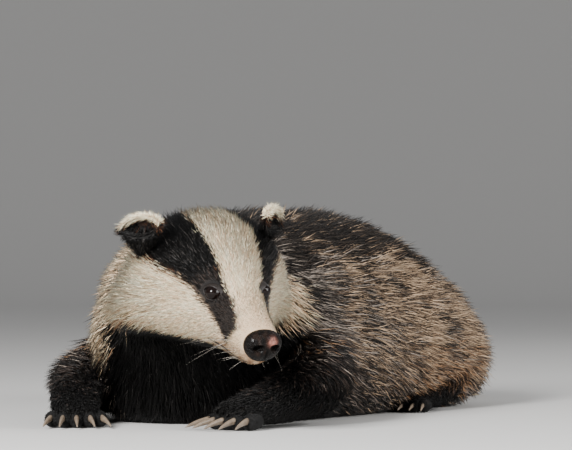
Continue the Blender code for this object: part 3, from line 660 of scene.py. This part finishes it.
eye_finish, s, shader = new_material("eye", Roughness=0.08, Coat_Weight=0.1, Coat_Roughness=0.02,
                                     Specular_IOR_Level=0.16)
fleck = s.texture("Noise", Scale=700.0, Detail=3.0)
feed(shader, "Base Color", fleck.blend((0.002, 0.0015, 0.0015, 1), (0.008, 0.004, 0.003, 1)))
lid_finish, s, shader = new_material("bare_black_skin", Roughness=0.5, Specular_IOR_Level=0.3)
grain = s.texture("Voronoi", Scale=1400.0)
feed(shader, "Base Color", grain.blend((0.006, 0.005, 0.0045, 1), (0.020, 0.015, 0.013, 1)))
feed_bump(shader, 0.5, 0.0002, grain)
for side, node in ((1, "eye_l"), (-1, "eye_r")):
    axes = eye_axes(side)
    turns = circle(40)
    rings = []
    for a in np.linspace(0.02, math.pi - 0.02, 28):
        radius = EYE_RADIUS * math.sin(a)
        depth = EYE_RADIUS * math.cos(a) * (EYE_DOME if a < 0.8 else 1.0)
        rings.append(ring_at(EYE_AT[side], axes, np.cos(turns) * radius, np.sin(turns) * radius, depth))
    ball = loft("eye_ball_" + node[-1], np.array(rings) * MM)
    finished(ball, eye_finish)
    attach(ball, "root")
    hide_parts(node)
    # the lids: a ring from the ball's edge out to the skin, an almond with a front and back corner
    turns = circle(64)
    corner = np.abs(np.cos(turns)) ** 6
    rings = []
    for spread, height in LID_RINGS:
        x = np.cos(turns) * (LID_OPENING[0] + 1.2 * corner / spread) * spread
        z = np.sin(turns) * LID_OPENING[1] * spread * np.where(np.sin(turns) > 0, 0.96, 0.9)
        reach = np.hypot(x, z)
        on_ball = np.sqrt(np.maximum(EYE_RADIUS**2 - np.minimum(reach, EYE_RADIUS * 0.96) ** 2, 0))
        depth = on_ball + height - np.maximum(reach - EYE_RADIUS, 0) * 0.35
        rings.append(ring_at(EYE_AT[side], axes, x, z, depth))
    ids = np.arange(len(rings) * len(turns)).reshape(len(rings), len(turns))
    nxt, down = np.roll(ids, -1, axis=1), np.roll(ids, -1, axis=0)
    faces = np.stack([ids, nxt, np.roll(down, -1, axis=1), down], axis=-1).reshape(-1, 4)
    mesh = bpy.data.meshes.new("lids_" + node[-1])
    mesh.from_pydata((np.vstack(rings) * MM).tolist(), [], faces.tolist())
    facing_out(mesh)
    lids = placed("lids_" + node[-1], mesh)
    finished(lids, lid_finish)
    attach(lids, "root")

# The nose: a broad pad of moist, pebbled leather, black-brown with a pink place on its top.
# It has two comma nostrils that open forward and sideways, and a groove down its middle.
NOSE_HALF = np.array((16.3, 10.5, 13.6))
NOSTRIL_AT = (7.4, 1.4)
HOLE_DEPTH, SLIT_DEPTH, WING_RISE, GROOVE_DEPTH = 6.5, 2.6, 1.3, 1.5
NOSE_BLACK = np.array((0.005, 0.0035, 0.003))
NOSE_BROWN = np.array((0.016, 0.008, 0.005))
NOSE_PINK = np.array((0.40, 0.17, 0.13))


def spot(x, z, half_wide, half_high, sharp=1.0):
    """From 1 in the middle of a round place to 0 outside it."""
    return np.exp(-(((x / half_wide) ** 2 + (z / half_high) ** 2) ** sharp))


bm = bmesh.new()
bmesh.ops.create_icosphere(bm, subdivisions=6, radius=1)
x, y, z = np.array([v.co for v in bm.verts]).T
x = np.sign(x) * np.abs(x) ** 0.92
pad = np.column_stack([x * (1 + 0.10 * z), -y, z]) * NOSE_HALF
sink = np.zeros(len(pad))
for sign in (1, -1):
    dx, dz = pad[:, 0] * sign - NOSTRIL_AT[0], pad[:, 2] - NOSTRIL_AT[1]
    sink += HOLE_DEPTH * spot(dx, dz + 0.04 * dx * np.abs(dx), 3.6, 2.8, 1.6)
    sink += SLIT_DEPTH * spot(dx - 5.0, dz + 1.8, 4.0, 1.0, 1.3)
    sink -= WING_RISE * spot(dx, dz - 4.5, 4.8, 2.0)
sink += GROOVE_DEPTH * np.exp(-(pad[:, 0] / 0.8) ** 2) * steps(3, -3, pad[:, 2])
pad[:, 1] -= sink * np.clip(-y, 0, 1)
place = on_head(0, 4, -1) + pad[:, :1] * LEFT + pad[:, 1:2] * AHEAD + pad[:, 2:] * UP
for v, co in zip(bm.verts, place * MM):
    v.co = co
mesh = bpy.data.meshes.new("nose_leather")
bm.to_mesh(mesh)
bm.free()
facing_out(mesh)
nose = placed("nose_pad", mesh)
pink = spot(pad[:, 0] - 4.6, pad[:, 2] - 6.6, 3.9, 3.6, 1.4)
pink = np.clip(pink * (1 + 0.5 * mottle(pad, 3.5, 51)), 0, 1)[:, None]
leather = NOSE_BLACK + (NOSE_PINK - NOSE_BLACK) * pink
leather = leather * 0.6 + 0.5 * NOSE_BROWN * np.clip(mottle(pad, 7, 52), 0, 1)[:, None]
# painted shade: the leather darkens with the depth of the nostrils and the groove
leather *= 1 - 0.9 * np.clip(sink / 6, 0, 1)[:, None]
mesh_colours(nose, leather)
nose_finish, s, shader = new_material("nose_leather", Roughness=0.3, Specular_IOR_Level=0.07,
                                      Coat_Weight=0.05, Coat_Roughness=0.08)
feed_own_colour(shader, s)
pebble = s.texture("Voronoi", Scale=900.0)
feed(shader, "Roughness", pebble * 0.35 + 0.18)
feed_bump(shader, 1.0, 0.0006, 1 - pebble + s.texture("Noise", Scale=2500.0) * 0.3)
finished(nose, nose_finish)
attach(nose, "root")
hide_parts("nose")

# The lips: thin black edges that show through the short fur along the closed mouth.
MOUTH_LINE = ((8, -66), (18, -52), (32, -43), (44, -37), (54, -32))  # behind the nose, degrees round
LIP_HALF, LIP_RISE = 0.75, 0.1


def on_muzzle(side, behind, degrees, rise):
    """A place so far behind the nose and so many degrees round the head, that far above its skin."""
    columns = np.array(HEAD_SECTIONS).T
    _, half, above, below, _, square, coat, drop = (np.interp(behind, columns[0], c) for c in columns)
    turn, depth = math.radians(degrees), coat - rise
    high = below - drop if degrees < 0 else above + drop
    x = math.cos(turn) ** (2 / square) * (half - depth)
    z = math.sin(abs(turn)) ** (2 / square) * (high - depth)
    return on_head(side * x, behind, math.copysign(z, degrees) - drop)


mouth = {}
for side, name in ((1, "l"), (-1, "r")):
    line = np.array([on_muzzle(side, behind, turn, LIP_RISE) for behind, turn in smooth(MOUTH_LINE, 6)])
    share = np.clip(np.arange(1, len(line) + 1) / (len(line) + 1), 0.06, 0.94)
    half = LIP_HALF * np.sin(math.pi * share) ** 0.5
    lip = loft("lip_" + name, tube_grid(np.column_stack([line, half, half]), 10) * MM)
    mouth[side] = line
    finished(lip, lid_finish)
    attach(lip, "root")

# The claws: long, blunt digging claws of dark horn on the forefeet, shorter ones behind.
# Each is a curved taper that starts inside its toe and rests its tip just over the ground.
CLAW_TIP, CLAW_TIP_HEIGHT, CLAW_ARCH = 0.25, 2.4, 5.0
claw_finish, s, shader = new_material("horn", Roughness=0.38, Specular_IOR_Level=0.5)
streak = s.texture("Noise", Scale=260.0, Detail=5.0, Roughness=0.6)
feed(shader, "Base Color", streak.blend((0.045, 0.032, 0.024, 1), (0.30, 0.23, 0.165, 1)))
feed_bump(shader, 0.3, 0.0003, streak)
for name in LEGS:
    claws = []
    for k, (root, out, reach, radius, height, (thick, length)) in enumerate(toe_lines(name)):
        rows = []
        for part in np.linspace(0, 1, 12):
            x, y, _ = root + out * (reach + length * part - radius / 2)
            size = thick * (1 - part) ** 0.62 + CLAW_TIP
            z = height * 1.15 * (1 - part) + CLAW_TIP_HEIGHT * part + CLAW_ARCH * part * (1 - part)
            rows.append((x, y, max(z, size + 0.4), size * 0.72, size))
        claws.append(loft(f"claw_{k}", tube_grid(np.array(rows), 14) * MM))
    claws = joined("claws_" + name, claws)
    finished(claws, claw_finish)
    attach(claws, "root")

# The coat: short sleek fur on the face, ears and feet, long bristly guard hair on the body and
# the ruff. Each tuft is a thin three-sided blade, rooted in the skin and bent along its lie.
TUFT_TRIANGLES = {2: 4, 3: 10}  # by how many levels a tuft has, its tip among them
HAIR_SHADE_LEVELS = {2: (0.45, 1.22), 3: (0.5, 0.88, 1.18)}  # brightness from the root to the tip; the darker roots are painted shade deep in the coat
PIECE_TRIANGLES = 190000
PATCH = 0.003  # a tuft's patch on the skin's unwrap
BURIED = 1.0  # a root this deep inside another form is left out
SOLE, LOWEST_HAIR = 4, 0.6  # no root lies lower than the one, and no hair than the other
BARE_TIP, EYE_BARE, LIP_BARE = 6.5, 8.2, 0.5  # no hair is rooted so near the nose, an eye or the lips
ROOT_DEPTH, TUFT_THICK = 1.2, 0.32
SPREAD, LIFT_SPREAD = 0.18, 4.5  # how much a tuft's way and lift differ at random
LONG, SAG = 25, (0, 0, -0.10)  # from this length on a tuft sags
coat_finish, s, shader = new_material("coat", Roughness=0.4, Specular_IOR_Level=0.17)
feed_own_colour(shader, s)


def grid_frames(grid):
    """At each point of a form's grid, the way back along it and the way out of it."""
    back = np.gradient(grid, axis=0)
    normal = unit(np.cross((np.roll(grid, -1, axis=1) - np.roll(grid, 1, axis=1)) / 2, back))
    if ((grid - grid.mean(1, keepdims=True)) * normal).sum() < 0:
        normal = -normal
    return back, normal


def scatter(name, spacing, seed):
    """Roots over a form's grid, about that many millimetres apart, with their place on its unwrap."""
    grid = grids[name]
    back, normal = grid_frames(grid)
    nxt = np.roll(grid, -1, axis=1)
    a, b, c, d = grid[:-1], nxt[:-1], nxt[1:], grid[1:]
    area = np.linalg.norm(np.cross(c - a, d - b), axis=-1) / 2
    middle = (a + b + c + d) / 4
    want = np.cumsum(area.ravel() / (spacing(middle.reshape(-1, 3)) * MM) ** 2)
    draw = np.random.default_rng(seed)
    count = int(want[-1])
    cell = np.searchsorted(want, (np.arange(count) + draw.random(count)) / count * want[-1])
    i, j = np.divmod(np.minimum(cell, len(want) - 1), grid.shape[1])
    down, over = draw.random(count)[:, None], draw.random(count)[:, None]
    jn = (j + 1) % grid.shape[1]

    def at(field):
        return (field[i, j] * (1 - down) * (1 - over) + field[i, jn] * (1 - down) * over
                + field[i + 1, j] * down * (1 - over) + field[i + 1, jn] * down * over)

    unwrap = np.column_stack([(j + over[:, 0]) / grid.shape[1], (i + down[:, 0]) / (grid.shape[0] - 1)])
    return at(grid), unit(at(back)), unit(at(normal)), unwrap


def covered(points, others):
    """Which points lie inside one of the other forms, deeper than BURIED."""
    hidden = np.zeros(len(points), bool)
    for name in others:
        low, high = grids[name].reshape(-1, 3).min(0), grids[name].reshape(-1, 3).max(0)
        for i in np.nonzero(((points > low) & (points < high)).all(1) & ~hidden)[0]:
            point = Vector(points[i])
            near, normal, _, _ = trees[name].find_nearest(point)
            hidden[i] = (point - near).dot(normal) < -BURIED * MM
    return hidden


def across_skin(way, out):
    """The same ways, laid flat on the skin."""
    return unit(way - out * (way * out).sum(1, keepdims=True))


def grow(place, way, out, length, width, lift, curl, seed, levels):
    """The corners of every tuft: rings of three points along a bent line, then a tip."""
    draw = np.random.default_rng(seed)
    count = len(place)
    side = np.cross(way, out)
    way = across_skin(way + side * draw.normal(0, SPREAD, count)[:, None], out)
    side = np.cross(way, out)
    lift = np.radians(lift + draw.normal(0, LIFT_SPREAD, count))[:, None]
    first = way * np.cos(lift + curl) + out * np.sin(lift + curl)
    last = way * np.cos(lift - curl) + out * np.sin(lift - curl)
    last = last + side * draw.normal(0, 0.12, count)[:, None] + np.array(SAG) * (length[:, None] > LONG)
    size, thick = length[:, None] * MM, width[:, None] * MM
    root = place - out * ROOT_DEPTH * MM
    corners = []
    for t, wide in ((0.0, 1.0),) if levels == 2 else ((0.0, 0.8), (0.5, 1.0)):
        middle = root + size * (first * t + (last - first) * t * t / 2)
        half, upward = side * thick * wide / 2, out * thick * wide * TUFT_THICK
        corners += [middle - half - upward / 2, middle + half - upward / 2, middle + upward]
    corners.append(root + size * (first + last) / 2)
    corners = np.stack(corners, axis=1)
    corners[..., 2] = np.maximum(corners[..., 2], LOWEST_HAIR * MM)
    return corners


def coat_mesh(name, corners, colours, unwrap, levels):
    """One piece of the coat out of its tufts' corners, with a colour at each corner and a small patch
    of the OFBake map round each tuft's place on the unwrap."""
    count, each = corners.shape[:2]
    faces = [(2, 1, 0)]
    for k in range(levels - 2):
        for e in range(3):
            n = (e + 1) % 3
            faces.append((3 * k + e, 3 * k + n, 3 * k + 3 + n, 3 * k + 3 + e))
    last = 3 * (levels - 2)
    faces += [(last + e, last + (e + 1) % 3, each - 1) for e in range(3)]
    loops = (np.concatenate(faces) + np.arange(count)[:, None] * each).ravel()
    totals = np.tile([len(face) for face in faces], count)
    mesh = bpy.data.meshes.new(name)
    mesh.vertices.add(count * each)
    mesh.vertices.foreach_set("co", corners.reshape(-1).astype(np.float32))
    mesh.loops.add(len(loops))
    mesh.loops.foreach_set("vertex_index", loops.astype(np.int32))
    mesh.polygons.add(len(totals))
    starts = np.concatenate([[0], np.cumsum(totals)[:-1]])
    mesh.polygons.foreach_set("loop_start", starts.astype(np.int32))
    mesh.update(calc_edges=True)
    across = np.tile((-0.5, 0.5, 0.0), levels - 1)
    down = np.repeat(np.linspace(-0.5, 0.5, levels)[:-1], 3)
    patch = np.column_stack([np.append(across, 0.0), np.append(down, 0.5)]) * PATCH
    low, high = unwrap[:, 1].min(), unwrap[:, 1].max()
    centre = np.column_stack([unwrap[:, 0], (unwrap[:, 1] - low) / max(high - low, 1e-6)])
    centre = centre * (1 - 2 * PATCH) + PATCH
    where = (centre[:, None, :] + patch[None]).reshape(-1, 2)[loops]
    layer = mesh.uv_layers.new(name="OFBake")
    layer.data.foreach_set("uv", where.ravel().astype(np.float32))
    made = placed(name, mesh)
    mesh_colours(made, colours.reshape(-1, 3))
    finished(made, coat_finish)
    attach(made, "root")


def hair_colours(shares, levels, seed):
    """Draws each tuft's fur and whether it is a light or a dark one, with a colour at each corner."""
    draw = np.random.default_rng(seed)
    light, dark, often = (np.array(column) for column in zip(*FURS.values()))
    limits = np.cumsum(shares, axis=1)
    fur = (draw.random(len(shares))[:, None] * limits[:, -1:] > limits).sum(1)
    own = np.where((draw.random(len(shares)) < often[fur])[:, None], light[fur], dark[fur])
    own = own * draw.uniform(0.7, 1.2, len(shares))[:, None]
    # painted shade: each tuft darkens towards its root
    shades = [own * level for level in HAIR_SHADE_LEVELS[levels] for _ in range(3)]
    return np.clip(np.stack(shades[:-2], axis=1), 0.002, 0.97)


def lay_coat(name, others, spacing, style, levels, seed):
    """Grows the coat of one form and cuts it into pieces along the animal."""
    place, way, out, unwrap = scatter(name, spacing, seed)
    keep = ~covered(place, others)
    keep &= place[:, 2] > SOLE * MM
    length, width, lift, curl, turn, stay = style(place, out)
    draw = np.random.default_rng(seed + 1)
    keep &= draw.random(len(place)) < stay
    way = across_skin(way + turn, out)
    place, way, out, unwrap = place[keep], way[keep], out[keep], unwrap[keep]
    length, width, lift, curl = (np.broadcast_to(value, keep.shape)[keep]
                                 for value in (length, width, lift, curl))
    length = length * draw.uniform(0.72, 1.15, len(length))
    colours = hair_colours(furs(place, name), levels, seed + 2)
    corners = grow(place, way, out, length, width * draw.uniform(0.75, 1.25, len(width)), lift,
                   curl[:, None], seed + 3, levels)
    cuts = max(1, math.ceil(len(place) / (PIECE_TRIANGLES // TUFT_TRIANGLES[levels])))
    for k in range(cuts):
        part = slice(len(place) * k // cuts, len(place) * (k + 1) // cuts)
        coat_mesh(f"coat_{name}" + (f"_{k + 1}" if cuts > 1 else ""), corners[part], colours[part],
                  unwrap[part], levels)


# Each style below gives the tufts' length and width in millimetres, their lift off the skin in degrees,
# their bend, what is added to the way they lie, and the share of them that stays.
def head_style(place, out):
    """Short on the muzzle, longer backwards, and a ruff that stands out at the back of the cheeks."""
    side, behind, _, height = head_space(place)
    cheek = steps(2, -30, height) * steps(84, 132, behind)
    far = side > 0
    length = np.interp(behind, (5, 30, 60, 90, 130, 152), (4.2, 5.8, 7.5, 10, 15, 21))
    length += cheek * (10 + 8 * far)
    width = np.interp(behind, (5, 60, 150), (0.62, 0.78, 0.95))
    lift = np.interp(behind, (5, 60, 110, 150), (20, 20, 17, 11)) + cheek * (14 + 14 * far)
    stay = behind > BARE_TIP
    for eye in EYE_AT.values():
        stay &= np.linalg.norm(place / MM - eye, axis=1) > EYE_BARE
    for line in mouth.values():
        stay &= np.min(np.linalg.norm(place[:, None] / MM - line[None, ::3], axis=2), axis=1) > LIP_BARE
    droop = 0.3 * steps(40, -20, height) + 0.8 * cheek
    turn = -UP * droop[:, None] + LEFT * (np.sign(side) * cheek * (0.2 + 0.3 * far))[:, None]
    return length, width, lift, math.radians(8), turn, stay


def trunk_style(place, out):
    """Long guard hair that hangs at the sides, and is short at the nape, under the head's coat."""
    p = place / MM
    x, y, z = p.T
    side, behind, _, height = head_space(place)
    low = steps(60, 15, z)
    chest = steps(-190, -220, y) * low
    length = np.interp(y, (-280, -220, -150, 0, 260), (26, 30, 32, 34, 36)) * (1 - 0.25 * low)
    lift = 21 + mottle(p, 40, 61) * 5 - low * 7 + chest * 10
    hang = steps(0.2, 1.0, np.abs(out[:, 0]))
    neck = steps(-180, -235, y) * hang
    near = neck * (x < 0) * steps(112, 84, z)
    fall = mottle(p, 45, 62) * 0.2 - 0.12 - 0.2 * hang - 0.1 * neck - 0.8 * near - chest
    turn = np.column_stack([-0.5 * near, 0.25 + 0.9 * (neck - near) - 0.2 * near, fall])
    nape = steps(200, 165, behind)
    cheek = nape * steps(4, -24, height)
    length = (length + chest * 22) * (1 - 0.45 * nape) + cheek * 12 + near * 12
    lift = lift - nape * (15 - 15 * near) + cheek * (8 + 6 * (side > 0))
    return length, 0.8 + 0.1 * hang, lift, math.radians(10), turn, 1


def leg_style(place, out):
    z = place[:, 2] / MM
    length = np.interp(z, (4, 20, 50, 80), (7, 12, 24, 34))
    width = np.interp(z, (4, 60), (0.6, 0.8))
    high = steps(30, 58, z)
    turn = np.column_stack([1.5 * np.sign(place[:, 0]) * high, 0.8 * high, -0.25 - 1.5 * high])
    return length, width, np.interp(z, (10, 60), (16, 22)), math.radians(10), turn, 1


def toe_style(place, out):
    return 5.5, 0.65, 13.0, math.radians(8), 0, 1


def tail_style(place, out):
    length = np.interp(place[:, 1] / MM, (226, 300, 380, 414), (50, 56, 42, 26))
    return length, 1.2, 19.0, math.radians(11), np.array((0, 0.1, 0.02)), 1


def ear_style(place, out):
    """Short hair that fans to the ear's edge, longer at its tip, and stands up inside the cup."""
    side = 1 if (place.mean(0) / MM - NOSE) @ LEFT > 0 else -1
    forward, across, up = ear_axes(side)
    away = place / MM - ear_centre(side)
    wide, long = away @ across / EAR_HALF[0], away @ up / EAR_HALF[2]
    spread = np.hypot(wide, long)
    fan = (np.outer(wide, across) + np.outer(long, up)) / (spread[:, None] + 1e-9)
    in_cup = steps(0.2, 0.6, out @ forward) * steps(0.95, 0.7, spread)
    length = 5.5 + 2 * steps(0.6, 1, spread) + 4 * in_cup
    return length, 0.75, 20 + 28 * in_cup, math.radians(8), fan * 4 + up * 1.6, 1


def even(size):
    return lambda points: np.full(len(points), size)


def head_spacing(points):
    return np.interp(head_space(points)[1], (5, 50, 100, 152), (0.72, 0.85, 1.05, 1.1))


lay_coat("head", ("trunk",), head_spacing, head_style, 2, 100)
lay_coat("trunk", ("head", "tail", *LEGS), even(1.72), trunk_style, 3, 200)
lay_coat("tail", ("trunk",), even(1.5), tail_style, 3, 300)
for k, name in enumerate(("ear_l", "ear_r")):
    lay_coat(name, ("head",), even(0.75), ear_style, 2, 400 + 10 * k)
for k, name in enumerate(LEGS):
    lay_coat(name, ("trunk",), even(1.5), leg_style, 3, 500 + 10 * k)
    for toe in range(5):
        lay_coat(f"{name}_toe_{toe}", (name,), even(0.9), toe_style, 2, 600 + 100 * k + 10 * toe)

# The whiskers: stiff tapering bristles on the upper lip and the chin, swept backwards.
WHISKER_HALF = 0.10
# Where each group stands, behind the nose and in degrees round the muzzle, their length and number.
WHISKERS = ((14, -28, 26, 2), (22, -14, 34, 3), (32, -26, 38, 3), (20, -62, 16, 4))
draw = np.random.default_rng(5)
whiskers = []
for side in (1, -1):
    for behind, degrees, length, count in WHISKERS:
        for _ in range(count):
            at = on_muzzle(side, behind + draw.uniform(-4, 4), degrees + draw.uniform(-9, 9), -0.5)
            out = unit(LEFT * side * 0.75 - AHEAD * draw.uniform(0.1, 1.1)
                       + UP * draw.uniform(-0.8, 0.2))
            bend = -AHEAD * 0.30 - np.array((0, 0, 0.28))
            size = length * draw.uniform(0.7, 1.1)
            t = np.linspace(0, 1, 9)[:, None]
            half = WHISKER_HALF * (1.05 - t)
            rows = np.hstack([at + out * size * t + bend * size * t * t, half, half])
            whiskers.append(loft("whisker", tube_grid(rows, 5) * MM))
whisker_finish, s, shader = new_material("bristle", Roughness=0.4, Specular_IOR_Level=0.4)
tone = s.texture("Noise", Scale=60.0)
feed(shader, "Base Color", tone.blend((0.05, 0.04, 0.035, 1), (0.75, 0.68, 0.58, 1)))
with bpy.context.temp_override(active_object=whiskers[0], selected_editable_objects=whiskers):
    bpy.ops.object.join()
bristles = whiskers[0]
bristles.name = bristles.data.name = "whiskers"
finished(bristles, whisker_finish)
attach(bristles, "root")

# The studio: a pale matt floor that curves up far away, a large soft key light from the front, a
# larger fill from the animal's left, and a faint rim light from behind.
FLOOR_FLAT, FLOOR_HIGH = 7.0, 4.5
profile = [(FLOOR_FLAT * t, 0.0) for t in (0.02, 0.1, 0.3, 0.6, 1.0)]
profile += [(FLOOR_FLAT + FLOOR_HIGH * math.sin(a), FLOOR_HIGH * (1 - math.cos(a)))
            for a in np.radians(np.arange(6, 91, 6))]
bm = bmesh.new()
turns = circle(96)
rows = [[bm.verts.new((r * math.cos(a), r * math.sin(a), z)) for a in turns] for r, z in profile]
for inner, outer in zip(rows, rows[1:]):
    for k, corner in enumerate(inner):
        bm.faces.new((corner, outer[k], outer[(k + 1) % len(outer)], inner[(k + 1) % len(inner)]))
bm.faces.new(rows[0])
mesh = bpy.data.meshes.new("floor")
bm.to_mesh(mesh)
bm.free()
facing_out(mesh)
floor = placed("floor", mesh)
floor_finish, s, shader = new_material("pale_floor", Roughness=0.9, Specular_IOR_Level=0.1)
shader.inputs["Base Color"].default_value = (0.66, 0.65, 0.63, 1)
finished(floor, floor_finish)

world = bpy.data.worlds.new("studio")
bpy.context.scene.world = world
world.use_nodes = True
world.node_tree.nodes["Background"].inputs["Color"].default_value = (0.88, 0.89, 0.92, 1)
world.node_tree.nodes["Background"].inputs["Strength"].default_value = 0.38


def soft_light(name, place, aim, size, power):
    data = bpy.data.lights.new(name, "AREA")
    data.size, data.energy = size, power
    light = placed(name, data)
    light.location = place
    light.rotation_euler = (Vector(aim) - Vector(place)).to_track_quat("-Z", "Y").to_euler()


soft_light("key", (0.0, -2.75, 1.15), (0.05, -0.2, 0.08), 0.8, 198)
soft_light("fill", (2.7, -0.3, 0.9), (0, -0.1, 0.1), 1.4, 82)
soft_light("rim", (0.6, 2.2, 1.7), (0, 0, 0.1), 1.0, 5)

# The camera stands low in front, a little to the animal's left, with a long lens.
AZIMUTH, DISTANCE, HEIGHT, FOCUS, WIDTH, HORIZON = 23, 2.911, 0.140, 3120, 572, 37
look = np.array((-math.sin(math.radians(AZIMUTH)), math.cos(math.radians(AZIMUTH)), 0))
camera_data = bpy.data.cameras.new("camera")
camera_data.sensor_width = 36
camera_data.lens = 36 * FOCUS / WIDTH
camera_data.clip_end = 200
camera = placed("camera", camera_data)
camera.location = -DISTANCE * look + (0, 0, HEIGHT)
pitch = math.atan(HORIZON / FOCUS)
ahead = look * math.cos(pitch) + np.array((0, 0, math.sin(pitch)))
camera.rotation_euler = Vector(ahead).to_track_quat("-Z", "Y").to_euler()
bpy.context.scene.camera = camera
